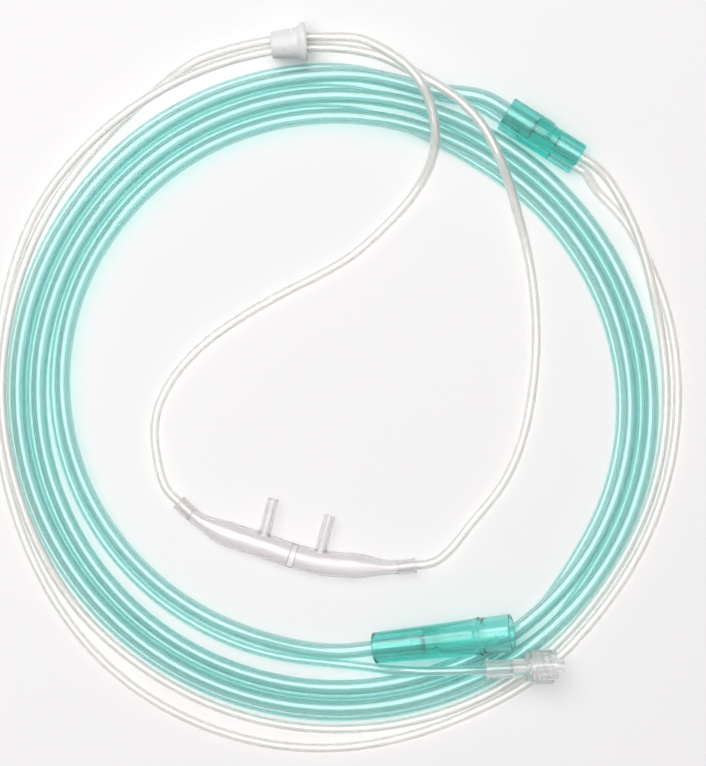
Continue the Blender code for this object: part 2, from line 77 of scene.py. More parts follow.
def frame_along(origin, heading, rise=0.0):
    """Matrix of the frame whose X runs along a heading on the table and a rise above it."""
    c, s, cr, sr = math.cos(heading), math.sin(heading), math.cos(rise), math.sin(rise)
    spin = np.array(((c * cr, -s, -c * sr), (s * cr, c, -s * sr), (sr, 0.0, cr)))
    turned = np.eye(4)
    turned[:3, :3] = spin
    turned[:3, 3] = np.ravel(origin)
    return turned


def moved(matrix, points):
    """Points carried from a frame's own axes into the set's."""
    points = np.asarray(points, float)
    return points @ matrix[:3, :3].T + matrix[:3, 3]


def smoothstep(x):
    """3x^2 - 2x^3 between 0 and 1, flat outside."""
    x = np.clip(x, 0, 1)
    return x * x * (3 - 2 * x)


def route_through(knots, step):
    """Natural cubic spline through the knots by chord length, cut at even steps of about step."""
    t = np.concatenate([[0], np.cumsum(np.linalg.norm(np.diff(knots, axis=0), axis=1))])
    h = np.diff(t)
    slope = np.diff(knots, axis=0) / h[:, None]
    inner = np.arange(1, len(t) - 1)
    matrix = np.eye(len(t))
    matrix[inner, inner - 1] = h[:-1]
    matrix[inner, inner] = 2 * (h[:-1] + h[1:])
    matrix[inner, inner + 1] = h[1:]
    right = np.zeros_like(knots)
    right[1:-1] = 6 * np.diff(slope, axis=0)
    bend = np.linalg.solve(matrix, right)
    fine = np.linspace(0, t[-1], math.ceil(t[-1] / step) + 1)
    i = np.clip(np.searchsorted(t, fine, "right") - 1, 0, len(h) - 1)
    reach = h[i][:, None]
    b = (fine - t[i])[:, None] / reach
    a = 1 - b
    pull = ((a**3 - a) * bend[i] + (b**3 - b) * bend[i + 1]) * reach**2 / 6
    return a * knots[i] + b * knots[i + 1] + pull


def path_frames(path):
    """Unit vectors at each point of a path: ahead, level across, and up square to both."""
    ahead = np.gradient(path, axis=0)
    ahead /= np.linalg.norm(ahead, axis=1, keepdims=True)
    across = np.cross((0.0, 0.0, 1.0), ahead)
    across /= np.linalg.norm(across, axis=1, keepdims=True)
    return ahead, across, np.cross(ahead, across)


def hollow_tube(path, outer, bore, sides):
    """Grid of a tube: circles of the outer radius along the path, then of the bore back again.
    A point is centre + radius * (cos(turn) * across + sin(turn) * up)."""
    _, across, up = path_frames(path)
    rows = np.concatenate([np.arange(len(path)), np.arange(len(path))[::-1]])
    radius = np.repeat((outer, bore), len(path))[:, None, None]
    turn = np.linspace(0, 2 * np.pi, sides, endpoint=False)[None, :, None]
    ring = np.cos(turn) * across[rows, None] + np.sin(turn) * up[rows, None]
    return path[rows, None] + radius * ring


def grid_mesh(name, grid, ring_rows=True, uv_rows=None):
    """A mesh of the quads of a (rows, columns, 3) grid whose columns go all the way round.
    ring_rows joins the last row to the first; without it each end row is one face."""
    rows, columns = grid.shape[:2]
    i = np.arange(rows if ring_rows else rows - 1)[:, None]
    j = np.arange(columns)[None, :]
    here, after = i * columns, (i + 1) % rows * columns
    beside = (j + 1) % columns
    quads = np.stack([here + j, here + beside, after + beside, after + j], -1).reshape(-1, 4)
    points = grid.reshape(-1, 3)
    a, b, c, d = (points[quads[:, k]] for k in range(4))
    inside_out = (np.cross(b - a, c - a) * a + np.cross(c - a, d - a) * a).sum() < 0
    faces = quads[:, ::-1] if inside_out else quads
    faces = faces.tolist()
    if not ring_rows:
        first, last = np.arange(columns), (rows - 1) * columns + np.arange(columns)
        ends = (first, last[::-1]) if inside_out else (first[::-1], last)
        faces += [end.tolist() for end in ends]
    mesh = bpy.data.meshes.new(name)
    mesh.from_pydata(points.tolist(), [], faces)
    if uv_rows is not None:
        along = np.concatenate([uv_rows, uv_rows[:1]])
        u = np.stack([along[i], along[i], along[i + 1], along[i + 1]], -1)
        u = np.broadcast_to(u, (len(i), columns, 4)).reshape(-1, 4)
        v = np.stack([j, j + 1, j + 1, j], -1) * 2 * np.pi / columns
        v = np.broadcast_to(v, (len(i), columns, 4)).reshape(-1, 4)
        pairs = np.stack([u, v], -1)
        pairs = pairs[:, ::-1] if inside_out else pairs
        layer = mesh.uv_layers.new(name="along_and_round")
        layer.data.foreach_set("uv", np.ascontiguousarray(pairs, np.float32).ravel())
    mesh.shade_smooth()
    return mesh


def add_piece(name, mesh, finish, body, slot, *nodes):
    """Puts a mesh in the scene as a piece that rides on a body and stands for CAD nodes."""
    piece = bpy.data.objects.new(name, mesh)
    mesh.materials.clear()
    mesh.materials.append(finish)
    scene.collection.objects.link(piece)
    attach(piece, body)
    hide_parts(*nodes)
    return piece


def linear(code):
    """Linear RGBA from an sRGB hex colour: c / 12.92 below 0.04045, else the 2.4 power curve."""
    c = np.array([int(code[k : k + 2], 16) for k in (1, 3, 5)]) / 255
    return (*np.where(c <= 0.04045, c / 12.92, ((c + 0.055) / 1.055) ** 2.4), 1.0)


def add_node(tree, kind, inputs=None, **settings):
    """Adds a node; an input is either a value or the output socket to link from."""
    node = tree.nodes.new(kind)
    for name, value in settings.items():
        setattr(node, name, value)
    for name, value in (inputs or {}).items():
        if isinstance(value, bpy.types.NodeSocket):
            tree.links.new(value, node.inputs[name])
        else:
            node.inputs[name].default_value = value
    return node


WALL_SHADE = (0.93, 0.925, 0.925, 1.0)
PLASTIC_IOR = 1.5
WAVER_MM = 11
DRAG_LENGTH_MM = 80


def let_lamps_through(tree, plastic, share, absorbed):
    """Ends a clear material: that share of a lamp's light goes straight through each wall, so a
    shadow stays pale, and what is seen through the plastic is coloured by its depth."""
    lamp = add_node(tree, "ShaderNodeLightPath").outputs["Is Shadow Ray"]
    through = add_node(tree, "ShaderNodeBsdfTransparent", {"Color": WALL_SHADE})
    clear = add_node(tree, "ShaderNodeMath", {0: lamp, 1: share}, operation="MULTIPLY")
    mixed = add_node(tree, "ShaderNodeMixShader", {
        0: clear.outputs[0], 1: plastic.outputs["BSDF"], 2: through.outputs["BSDF"]})
    colour, density = absorbed
    depth = add_node(tree, "ShaderNodeVolumeAbsorption", {"Color": colour, "Density": density})
    add_node(tree, "ShaderNodeOutputMaterial", {
        "Surface": mixed.outputs[0], "Volume": depth.outputs["Volume"]})


def extruded_vinyl(name, surface, body, absorbed, haze, line_mm, line_radius, line_depth):
    """Plasticised PVC drawn through a die: clear and glossy, with a faint bloom and fine lines
    along it where the die dragged. Its depth of colour grows with the plastic looked through."""
    finish = bpy.data.materials.new(name)
    finish.use_nodes = True
    tree = finish.node_tree
    tree.nodes.clear()
    place_on_tube = add_node(tree, "ShaderNodeUVMap", uv_map="along_and_round").outputs["UV"]
    parted = add_node(tree, "ShaderNodeSeparateXYZ", {"Vector": place_on_tube})
    level = add_node(tree, "ShaderNodeMath", {0: parted.outputs["Y"]}, operation="COSINE")
    upward = add_node(tree, "ShaderNodeMath", {0: parted.outputs["Y"]}, operation="SINE")
    wrapped = add_node(tree, "ShaderNodeCombineXYZ", {
        "X": parted.outputs["X"], "Y": level.outputs[0], "Z": upward.outputs[0]})
    lines = add_node(tree, "ShaderNodeMapping", {
        "Vector": wrapped.outputs["Vector"],
        "Scale": (1 / (DRAG_LENGTH_MM * MM), line_radius / line_mm, line_radius / line_mm)})
    drag = add_node(tree, "ShaderNodeTexNoise", {
        "Vector": lines.outputs["Vector"], "Scale": 1.0, "Detail": 2.0, "Roughness": 0.5})
    spot = add_node(tree, "ShaderNodeTexCoord").outputs["Object"]
    sway = add_node(tree, "ShaderNodeTexNoise", {
        "Vector": spot, "Scale": 1 / (WAVER_MM * MM), "Detail": 2.0, "Roughness": 0.5})
    height = add_node(tree, "ShaderNodeMath", {0: sway.outputs["Fac"], 1: drag.outputs["Fac"]},
                      operation="ADD")
    relief = add_node(tree, "ShaderNodeBump", {
        "Height": height.outputs[0], "Strength": 0.35, "Distance": line_depth})
    gloss = add_node(tree, "ShaderNodeMapRange", {
        "Value": drag.outputs["Fac"], "From Min": 0.3, "From Max": 0.7,
        "To Min": haze * 0.7, "To Max": haze * 1.3})
    tint = add_node(tree, "ShaderNodeMix", {
        "Factor": sway.outputs["Fac"], 6: linear(surface[0]), 7: linear(surface[1])},
        data_type="RGBA")
    plastic = add_node(tree, "ShaderNodeBsdfPrincipled", {
        "Base Color": tint.outputs[2], "Roughness": gloss.outputs["Result"],
        "IOR": PLASTIC_IOR, "Transmission Weight": body, "Normal": relief.outputs["Normal"],
        "Specular IOR Level": 0.9, "Coat Weight": 1.0, "Coat Roughness": 0.08})
    let_lamps_through(tree, plastic, 1.0, absorbed)
    return finish


OXYGEN_TUBE_R = 2.5 * MM
OXYGEN_BORE_R = 1.6 * MM
SAMPLING_TUBE_R = 1.5 * MM
GAP = 0.3 * MM
COIL_CENTRE = place((-0.96, -4.66, 0))[0]
COIL_R = 104.6 * MM
COIL_PITCH = 6.6 * MM
COIL_OVAL = 1.07 * MM
COIL_OVAL_TURN = math.radians(-22)
COIL_LOBES = 0.33 * MM
COIL_LOBES_TURN = math.radians(-18)
# The straight runs of the CAD's tubes lie up to twice this inside the spiral.
COIL_SAG = 0.35 * MM
COIL_TURNS = np.arange(72, 972 + 1, 12)
TAIL_START = 870
TAIL_DROP = 5.6 * MM
TAIL_SPREAD = 1.6 * MM
LAY_OFFSET = 2.9 * MM
LAY_CROSSING = 15
LAY_INSIDE = 45
LAY_OUTSIDE = 80
FLOOR_GAP = 0.05 * MM

turn = np.radians(COIL_TURNS)
tail = smoothstep((COIL_TURNS - TAIL_START) / (COIL_TURNS[-1] - TAIL_START))
coil_radius = COIL_R - COIL_PITCH * (COIL_TURNS - 60) / 360
coil_radius = coil_radius + COIL_OVAL * np.cos(2 * (turn - COIL_OVAL_TURN))
coil_radius = coil_radius + COIL_LOBES * np.cos(3 * (turn - COIL_LOBES_TURN))
coil_radius = coil_radius - TAIL_DROP * tail - COIL_SAG
away = np.abs((COIL_TURNS - LAY_CROSSING + 180) % 360 - 180)
lay = LAY_OFFSET * (2 * smoothstep((away - LAY_INSIDE) / (LAY_OUTSIDE - LAY_INSIDE)) - 1)
coil_out = np.stack([np.cos(turn), np.sin(turn), 0 * turn], 1)
coil_up = np.array((0.0, 0.0, 1.0))
thin_height = SAMPLING_TUBE_R + FLOOR_GAP
thick_height = thin_height + np.sqrt((OXYGEN_TUBE_R + SAMPLING_TUBE_R + GAP) ** 2 - lay**2)
thick_coil = COIL_CENTRE + coil_out * coil_radius[:, None] + coil_up * thick_height[:, None]
thin_coil = COIL_CENTRE + coil_out * (coil_radius + lay + TAIL_SPREAD * tail)[:, None]
thin_coil = thin_coil + coil_up * thin_height

SPLIT = frame_along(place((52.7, 86.9, 6.9)), math.radians(-32))
SPLIT_SOCKET_DEPTH = 10.5 * MM
FUNNEL = frame_along(place((10.2, -84.7, 5.4)), math.radians(7.3), math.radians(11.8))
FUNNEL_SOCKET_DEPTH = 17 * MM


def on_axis(matrix, distances, side=0.0, drop=0.0):
    """Points at distances along a frame's X, offset to its side and downwards."""
    distances = np.array(distances, float)
    return moved(matrix, np.stack([distances, 0 * distances + side, 0 * distances - drop], 1))


RING_STEP = 1.6 * MM
oxygen_path = route_through(np.concatenate([
    on_axis(SPLIT, (SPLIT_SOCKET_DEPTH - GAP, 5 * MM, 0, -6 * MM)),
    thick_coil,
    on_axis(FUNNEL, (-8 * MM, -1 * MM, 6 * MM, FUNNEL_SOCKET_DEPTH - GAP)),
]), RING_STEP)
first_half = oxygen_path[:len(oxygen_path) // 2]
first_half[:, 2] = np.maximum(first_half[:, 2], thick_height.min() + GAP / 2)


def run_of(path):
    """Distance run at each row of a hollow tube's grid, out along the path and back."""
    step = np.linalg.norm(np.diff(path, axis=0, prepend=path[:1]), axis=1)
    return np.concatenate([np.cumsum(step), np.cumsum(step)[::-1]])


green_vinyl = extruded_vinyl(
    "green_extruded_pvc", ("#e6f4f2", "#dcefed"), 0.86, ((0.0, 0.77, 0.735, 1.0), 215.0),
    haze=0.12, line_mm=0.5, line_radius=2.5, line_depth=0.010 * MM)
oxygen_tube = add_piece(
    "oxygen_tube_vinyl",
    grid_mesh("oxygen_tube_vinyl", hollow_tube(oxygen_path, OXYGEN_TUBE_R, OXYGEN_BORE_R, 32),
              uv_rows=run_of(oxygen_path)),
    green_vinyl, "cannula_set", "green_tube", "oxygen_tube")

# ---------------------------------------------------------------------------------------------
# Sampling tube. The same green vinyl in a thinner, thick-walled tube that lies along the oxygen
# tube. It is glued into the lower barrel of the split connector and into the luer body.
SAMPLING_BORE_R = 0.8 * MM
SPLIT_LOWER_SIDE = -3.3 * MM
SPLIT_LOWER_DROP = 3.9 * MM
SPLIT_LOWER_START = 0.2 * MM
LOWER_SOCKET_DEPTH = 7 * MM
LUER = frame_along(place((45.4, -91.0, 11.9)), math.radians(2.3), math.radians(-4))
LUER_SOCKET_DEPTH = 9 * MM
lower_seat = SPLIT_LOWER_START + LOWER_SOCKET_DEPTH - GAP
sampling_path = route_through(np.concatenate([
    on_axis(SPLIT, (lower_seat, 3 * MM, -1 * MM, -7 * MM), SPLIT_LOWER_SIDE, SPLIT_LOWER_DROP),
    thin_coil,
    place((-12.0, -88.9, 1.6), (2.0, -90.3, 2.1), (12.0, -91.3, 4.7), (21.5, -91.7, 8.5),
          (31.5, -91.6, 10.7)),
    on_axis(LUER, (-6 * MM, -0.5 * MM, 4 * MM, LUER_SOCKET_DEPTH - GAP)),
]), RING_STEP)
sampling_path[:, 2] = np.maximum(sampling_path[:, 2], thin_height)
sampling_tube = add_piece(
    "sampling_tube_vinyl",
    grid_mesh("sampling_tube_vinyl",
              hollow_tube(sampling_path, SAMPLING_TUBE_R, SAMPLING_BORE_R, 24),
              uv_rows=run_of(sampling_path)),
    green_vinyl, "cannula_set", "green_tube", "sampling_tube")

# ---------------------------------------------------------------------------------------------
# Lariat tubes. Two clear vinyl tubes that leave the split connector, go once round the coil,
# pass through the slider side by side and end in the two necks of the nasal piece.
LARIAT_TUBE_R = 1.6 * MM
LARIAT_BORE_R = 0.95 * MM
SPLIT_LENGTH = 27.6 * MM
LARIAT_SOCKET_DEPTH = 9 * MM
SLIDER_CENTRE = place((-7.2, 6.8, 6.45))[0]
SLIDER_PATH_R = 102 * MM
LARIAT_SPACING = 3.5 * MM
NASAL_HEIGHT = 3.4
NASAL_LINE = place(
    (-52.3, -38.0, NASAL_HEIGHT), (-46.7, -43.1, NASAL_HEIGHT), (-37.5, -48.0, NASAL_HEIGHT),
    (-27.3, -51.4, NASAL_HEIGHT), (-16.7, -55.0, NASAL_HEIGHT), (-5.5, -57.7, NASAL_HEIGHT),
    (7.3, -58.7, NASAL_HEIGHT), (15.6, -59.1, NASAL_HEIGHT), (23.6, -58.4, NASAL_HEIGHT))
NASAL_SOCKET_DEPTH = 6 * MM

ROUND_MIDDLE = (-1.25, -3.9)
OXYGEN_ROUND = np.array((
    (40.5, 110.2, 6.6), (35, 109.9, 6.0), (30, 108.9, 5.6), (25.5, 107.8, 5.2), (20, 106.5, 4.7),
    (13, 105.5, 3.0), (5, 105.2, 1.95), (-8, 105.3, 1.7), (-22, 105.3, 1.65), (-36, 105.3, 1.65),
    (-47, 106.0, 1.65), (-57, 107.0, 1.65), (-66, 107.3, 1.65), (-76, 107.2, 1.65),
    (-88, 107.1, 1.65), (-101, 107.2, 1.65), (-114, 107.3, 1.65), (-127, 107.4, 1.75),
    (-139, 107.9, 2.1), (-150, 107.5, 3.6), (-162, 107.0, 5.0), (-176, 107.4, 5.1),
    (-188, 107.8, 5.1), (-200, 108.6, 4.4), (-213, 109.9, 2.6), (-220, 110.5, 1.8),
    (-227, 111.3, 1.65), (-234, 112.5, 2.1), (-241, 114.3, 3.3)))
SAMPLING_ROUND = np.array((
    (40, 105.9, 2.4), (33.5, 106.9, 1.8), (27.4, 107.9, 1.65), (20, 108.5, 1.65),
    (10, 108.9, 1.65), (-1, 108.9, 1.65), (-12, 108.9, 1.65), (-24, 108.9, 1.65),
    (-36, 108.9, 1.65), (-47, 109.6, 1.65), (-57, 110.5, 1.65), (-66, 110.5, 1.65),
    (-76, 111.3, 1.65), (-88, 112.8, 1.65), (-101, 114.0, 1.65), (-114, 114.4, 1.65),
    (-127, 114.2, 1.65), (-139, 113.0, 1.65), (-151, 111.3, 1.65), (-163, 110.1, 1.65),
    (-176, 109.7, 1.65), (-188, 110.2, 1.65), (-200, 111.6, 1.8), (-213, 113.3, 2.9),
    (-220, 113.3, 4.1), (-227, 113.1, 5.0), (-234, 112.8, 5.9), (-241, 112.5, 7.4)))
OXYGEN_FREE = place(
    (5.6, 109.8, 7.2), (12.5, 106.6, 9.4), (19.8, 101.4, 12.4), (24.6, 95.9, 13.0),
    (27.8, 89.5, 11.8), (29.4, 82.5, 10.6), (29.6, 76.0, 8.6), (27.2, 67.8, 5.0),
    (22.7, 60.2, 2.6), (14.2, 50.6, 1.75), (3.8, 41.3, 1.65), (-14.5, 31.0, 1.65),
    (-31.1, 21.8, 1.65), (-45.2, 11.6, 1.65), (-55.2, 0.0, 1.65), (-59.8, -11.8, 1.65),
    (-59.0, -25.6, 2.2))
SAMPLING_FREE = place(
    (4.6, 106.2, 6.5), (12.2, 104.3, 6.6), (20.0, 100.6, 8.6), (28.7, 95.9, 10.2),
    (36.6, 90.6, 10.4), (42.0, 85.4, 10.4), (46.2, 79.5, 10.4), (49.4, 73.2, 10.4),
    (52.8, 65.0, 8.4), (56.2, 54.0, 5.0), (59.4, 42.0, 2.6), (61.6, 28.4, 1.65),
    (62.3, 14.0, 1.65), (60.9, -3.6, 1.65), (57.4, -19.5, 1.65), (50.7, -33.6, 1.65),
    (39.6, -47.4, 2.0))


def round_coil(rows):
    """Layout points from rows of angle in degrees, distance from the round middle and height."""
    angle, reach, height = np.radians(rows[:, 0]), rows[:, 1], rows[:, 2]
    return place(*np.stack([ROUND_MIDDLE[0] + reach * np.cos(angle),
                            ROUND_MIDDLE[1] + reach * np.sin(angle), height], 1))


def slider_arc(radius):
    """The arc that a lariat tube follows through the slider, about the slider's own centre."""
    angle = np.radians(np.arange(112, 87, -4))
    return SLIDER_CENTRE + radius * np.stack([np.cos(angle), np.sin(angle), 0 * angle], 1)


nasal_fine = route_through(NASAL_LINE, 0.05 * MM)
nasal_run = np.concatenate([[0], np.cumsum(np.linalg.norm(np.diff(nasal_fine, axis=0), axis=1))])


def nasal_points(shares):
    """Points of the nasal piece's middle line at shares of its length."""
    at = np.asarray(shares) * nasal_run[-1]
    return np.stack([np.interp(at, nasal_run, nasal_fine[:, k]) for k in range(3)], 1)


def neck_end(inner, outer):
    """The last three points of a tube that goes into the neck whose line ends at outer."""
    pair = nasal_points((inner, outer))
    leaving = (pair[1] - pair[0]) / np.linalg.norm(pair[1] - pair[0])
    return pair[1] + leaving * np.array((4 * MM, 0.5 * MM, GAP - NASAL_SOCKET_DEPTH))[:, None]


split_leave = (SPLIT_LENGTH - LARIAT_SOCKET_DEPTH + GAP, SPLIT_LENGTH - 3 * MM, SPLIT_LENGTH,
               SPLIT_LENGTH + 4 * MM)
LARIAT_STEP = 1.2 * MM
oxygen_lariat_path = route_through(np.concatenate([
    on_axis(SPLIT, split_leave), round_coil(OXYGEN_ROUND),
    slider_arc(SLIDER_PATH_R + LARIAT_SPACING / 2), OXYGEN_FREE, neck_end(0.05, 0.0)]),
    LARIAT_STEP)
sampling_lariat_path = route_through(np.concatenate([
    on_axis(SPLIT, split_leave, SPLIT_LOWER_SIDE, SPLIT_LOWER_DROP), round_coil(SAMPLING_ROUND),
    slider_arc(SLIDER_PATH_R - LARIAT_SPACING / 2), SAMPLING_FREE, neck_end(0.95, 1.0)]),
    LARIAT_STEP)

clear_vinyl = extruded_vinyl(
    "clear_extruded_pvc", ("#f8f7f5", "#f2f1ef"), 0.74, ((0.82, 0.82, 0.79, 1.0), 40.0),
    haze=0.20, line_mm=0.5, line_radius=1.6, line_depth=0.005 * MM)
for name, path in (("oxygen_lariat_tube", oxygen_lariat_path),
                   ("sampling_lariat_tube", sampling_lariat_path)):
    lariat_tube = add_piece(
        name + "_vinyl",
        grid_mesh(name + "_vinyl", hollow_tube(path, LARIAT_TUBE_R, LARIAT_BORE_R, 24),
                  uv_rows=run_of(path)),
        clear_vinyl, "cannula_set", "clear_tube", name)

# ---------------------------------------------------------------------------------------------
# Split connector. A moulding of clear teal PVC: a collar over the oxygen tube that steps down to
# a barrel, with a lower barrel along its underside. All four tubes are glued into its sockets.
SPLIT_COLLAR_R = 4.8 * MM
SPLIT_COLLAR_LENGTH = 16 * MM
SPLIT_BARREL_R = 4.05 * MM
SPLIT_LOWER_R = 2.95 * MM
SOCKET_PLAY = 0.3 * MM
PASSAGE_R = 1.0 * MM


def softened(corners, step):
    """Closed outline through rows of x, radius and rounding. Each corner c becomes the curve
    (1 - t)^2 a + 2 t (1 - t) c + t^2 b, where a and b lie its rounding before and after it."""
    corners = np.array(corners)
    c, rounding = corners[:, :2], corners[:, 2:]
    back, onward = np.roll(c, 1, axis=0) - c, np.roll(c, -1, axis=0) - c
    a = c + rounding * back / np.linalg.norm(back, axis=1, keepdims=True)
    b = c + rounding * onward / np.linalg.norm(onward, axis=1, keepdims=True)
    t = np.linspace(0, 1, 7)[None, :, None]
    curve = (1 - t) ** 2 * a[:, None] + 2 * t * (1 - t) * c[:, None] + t * t * b[:, None]
    curve = curve.reshape(-1, 2)
    curve = np.concatenate([curve, curve[:1]])
    run = np.concatenate([[0], np.cumsum(np.linalg.norm(np.diff(curve, axis=0), axis=1))])
    marks = np.union1d(run, np.arange(0, run[-1], step))
    marks = marks[(np.diff(marks, prepend=-1) > step / 20) & (marks < run[-1] - step / 20)]
    return np.stack([np.interp(marks, run, curve[:, k]) for k in (0, 1)], 1)


def turned(outline, sides=96):
    """Grid of a solid of revolution round X: (x, r cos(turn), r sin(turn))."""
    turn = np.linspace(0, 2 * np.pi, sides, endpoint=False)
    x, r = outline[:, 0, None], outline[:, 1, None]
    return np.stack([x + 0 * turn, r * np.cos(turn), r * np.sin(turn)], -1)


def rod(start, end, radius, side=0.0, drop=0.0):
    """Mesh of a plain round rod along X, offset to its side and downwards."""
    grid = turned(np.array(((start, radius), (end, radius))), 64)
    return grid_mesh("rod", grid + np.array((0.0, side, -drop)), ring_rows=False)


def moulded_as_one(name, body, joined, holes, voxel, passes):
    """One closed mesh: the body with the joined meshes added and the holes taken out, remade in
    even voxels and relaxed, which rounds every edge as a mould does."""
    whole = bpy.data.objects.new(name, body)
    scene.collection.objects.link(whole)
    helpers = [whole]
    for operation, meshes in (("UNION", joined), ("DIFFERENCE", holes)):
        for mesh in meshes:
            helper = bpy.data.objects.new(name + "_helper", mesh)
            scene.collection.objects.link(helper)
            helpers.append(helper)
            step = whole.modifiers.new("step", "BOOLEAN")
            step.operation = operation
            step.object = helper
            step.solver = "EXACT"
    even = whole.modifiers.new("even", "REMESH")
    even.mode = "VOXEL"
    even.voxel_size = voxel
    relax = whole.modifiers.new("relax", "SMOOTH")
    relax.iterations = passes
    graph = bpy.context.evaluated_depsgraph_get()
    mesh = bpy.data.meshes.new_from_object(whole.evaluated_get(graph))
    mesh.name = name
    for helper in helpers:
        bpy.data.objects.remove(helper)
    mesh.shade_smooth()
    return mesh


FLOW_MM = 6


def moulded_plastic(name, surface, body, absorbed, roughness, grain_mm, grain_depth,
                    milk=0.0):
    """Clear or milky plastic out of a polished steel mould: a fine uneven skin over flow marks,
    with a colour that deepens with the plastic looked through."""
    finish = bpy.data.materials.new(name)
    finish.use_nodes = True
    tree = finish.node_tree
    tree.nodes.clear()
    spot = add_node(tree, "ShaderNodeTexCoord").outputs["Object"]
    grain = add_node(tree, "ShaderNodeTexNoise", {
        "Vector": spot, "Scale": 1 / (grain_mm * MM), "Detail": 4.0, "Roughness": 0.55})
    flow = add_node(tree, "ShaderNodeTexNoise", {
        "Vector": spot, "Scale": 1 / (FLOW_MM * MM), "Detail": 2.0, "Distortion": 1.2})
    relief = add_node(tree, "ShaderNodeBump", {
        "Height": grain.outputs["Fac"], "Strength": 0.5, "Distance": grain_depth})
    gloss = add_node(tree, "ShaderNodeMapRange", {
        "Value": flow.outputs["Fac"], "From Min": 0.3, "From Max": 0.7,
        "To Min": roughness * 0.7, "To Max": roughness * 1.3})
    tint = add_node(tree, "ShaderNodeMix", {
        "Factor": flow.outputs["Fac"], 6: linear(surface[0]), 7: linear(surface[1])},
        data_type="RGBA")
    plastic = add_node(tree, "ShaderNodeBsdfPrincipled", {
        "Base Color": tint.outputs[2], "Roughness": gloss.outputs["Result"], "IOR": PLASTIC_IOR,
        "Transmission Weight": body, "Normal": relief.outputs["Normal"],
        "Coat Weight": 0.25, "Coat Roughness": 0.05, "Subsurface Weight": milk,
        "Subsurface Radius": (1.0, 1.0, 1.0), "Subsurface Scale": 1.5 * MM})
    let_lamps_through(tree, plastic, body, absorbed)
    return finish


green_moulded = moulded_plastic(
    "green_moulded_pvc", ("#e2fbf8", "#d2f7f3"), 0.92, ((0.0, 0.84, 0.805, 1.0), 300.0),
    roughness=0.06, grain_mm=0.9, grain_depth=0.012 * MM)
split_seat = SPLIT_LENGTH - LARIAT_SOCKET_DEPTH
lower_place = (SPLIT_LOWER_SIDE, SPLIT_LOWER_DROP)
split_mesh = moulded_as_one(
    "split_connector_moulding",
    grid_mesh("barrel", turned(softened((
        (0, 0.1 * MM, 0.01 * MM), (0, SPLIT_COLLAR_R, 0.4 * MM),
        (SPLIT_COLLAR_LENGTH - 1.2 * MM, SPLIT_COLLAR_R, 0.3 * MM),
        (SPLIT_COLLAR_LENGTH, SPLIT_BARREL_R, 0.4 * MM),
        (SPLIT_LENGTH, SPLIT_BARREL_R, 0.6 * MM), (SPLIT_LENGTH, 0.1 * MM, 0.01 * MM)),
        0.5 * MM))),
    [grid_mesh("lower_barrel", turned(softened((
        (SPLIT_LOWER_START, 0.1 * MM, 0.01 * MM), (SPLIT_LOWER_START, SPLIT_LOWER_R, 0.4 * MM),
        (SPLIT_LENGTH - 0.2 * MM, SPLIT_LOWER_R, 0.4 * MM),
        (SPLIT_LENGTH - 0.2 * MM, 0.1 * MM, 0.01 * MM)), 0.5 * MM))
        + np.array((0.0, SPLIT_LOWER_SIDE, -SPLIT_LOWER_DROP)))],
    [rod(-1 * MM, SPLIT_SOCKET_DEPTH, OXYGEN_TUBE_R + SOCKET_PLAY),
     rod(SPLIT_SOCKET_DEPTH - 1 * MM, split_seat + 1 * MM, PASSAGE_R),
     rod(split_seat, SPLIT_LENGTH + 1 * MM, LARIAT_TUBE_R + SOCKET_PLAY),
     rod(-1 * MM, SPLIT_LOWER_START + LOWER_SOCKET_DEPTH, SAMPLING_TUBE_R + SOCKET_PLAY,
         *lower_place),
     rod(SPLIT_LOWER_START + LOWER_SOCKET_DEPTH - 1 * MM, split_seat + 1 * MM,
         PASSAGE_R * 0.8, *lower_place),
     rod(split_seat, SPLIT_LENGTH + 1 * MM, LARIAT_TUBE_R + SOCKET_PLAY, *lower_place)],
    voxel=0.2 * MM, passes=4)
split_mesh.transform(Matrix(SPLIT))
add_piece("split_connector_moulding", split_mesh, green_moulded, "cannula_set",
          "green_moulding", "split_connector")

# ---------------------------------------------------------------------------------------------
# Slider. Milky polyethylene, moulded in one piece as a cone with a finger flange; the two lariat
# tubes run side by side through its double bore and it slides along them.
SLIDER_ANGLE = math.radians(95.5)
SLIDER_HALF = 5.75 * MM
SLIDER_NECK = SLIDER_HALF - 1.6 * MM
SLIDER_PLAY = 0.36 * MM
slider_out = np.array((math.cos(SLIDER_ANGLE), math.sin(SLIDER_ANGLE), 0.0))
SLIDER = frame_along(SLIDER_CENTRE + SLIDER_PATH_R * slider_out, SLIDER_ANGLE - math.pi / 2)
slider_sag = SLIDER_HALF**2 / (2 * SLIDER_PATH_R)
milky_polyethylene = moulded_plastic(
    "milky_moulded_polyethylene", ("#fefefe", "#fafaf9"), 0.30,
    ((0.90, 0.90, 0.89, 1.0), 10.0), roughness=0.34, grain_mm=0.5, grain_depth=0.012 * MM,
    milk=0.75)
slider_mesh = moulded_as_one(
    "slider_moulding",
    grid_mesh("cone", turned(softened((
        (-SLIDER_HALF, 0.1 * MM, 0.01 * MM), (-SLIDER_HALF, 4.3 * MM, 0.5 * MM),
        (SLIDER_NECK - 1.2 * MM, 5.0 * MM, 0.6 * MM), (SLIDER_NECK, 6.3 * MM, 0.4 * MM),
        (SLIDER_NECK + 0.5 * MM, 6.4 * MM, 0.3 * MM), (SLIDER_HALF, 6.2 * MM, 0.5 * MM),
        (SLIDER_HALF, 0.1 * MM, 0.01 * MM)), 0.3 * MM))),
    [],
    [rod(-SLIDER_HALF - 1 * MM, SLIDER_HALF + 1 * MM, LARIAT_TUBE_R + SLIDER_PLAY,
         lane * LARIAT_SPACING / 2 - slider_sag / 2) for lane in (-1, 1)],
    voxel=0.15 * MM, passes=3)
slider_mesh.transform(Matrix(SLIDER))
add_piece("slider_moulding", slider_mesh, milky_polyethylene, "slider", "milky_slider",
          "slider")

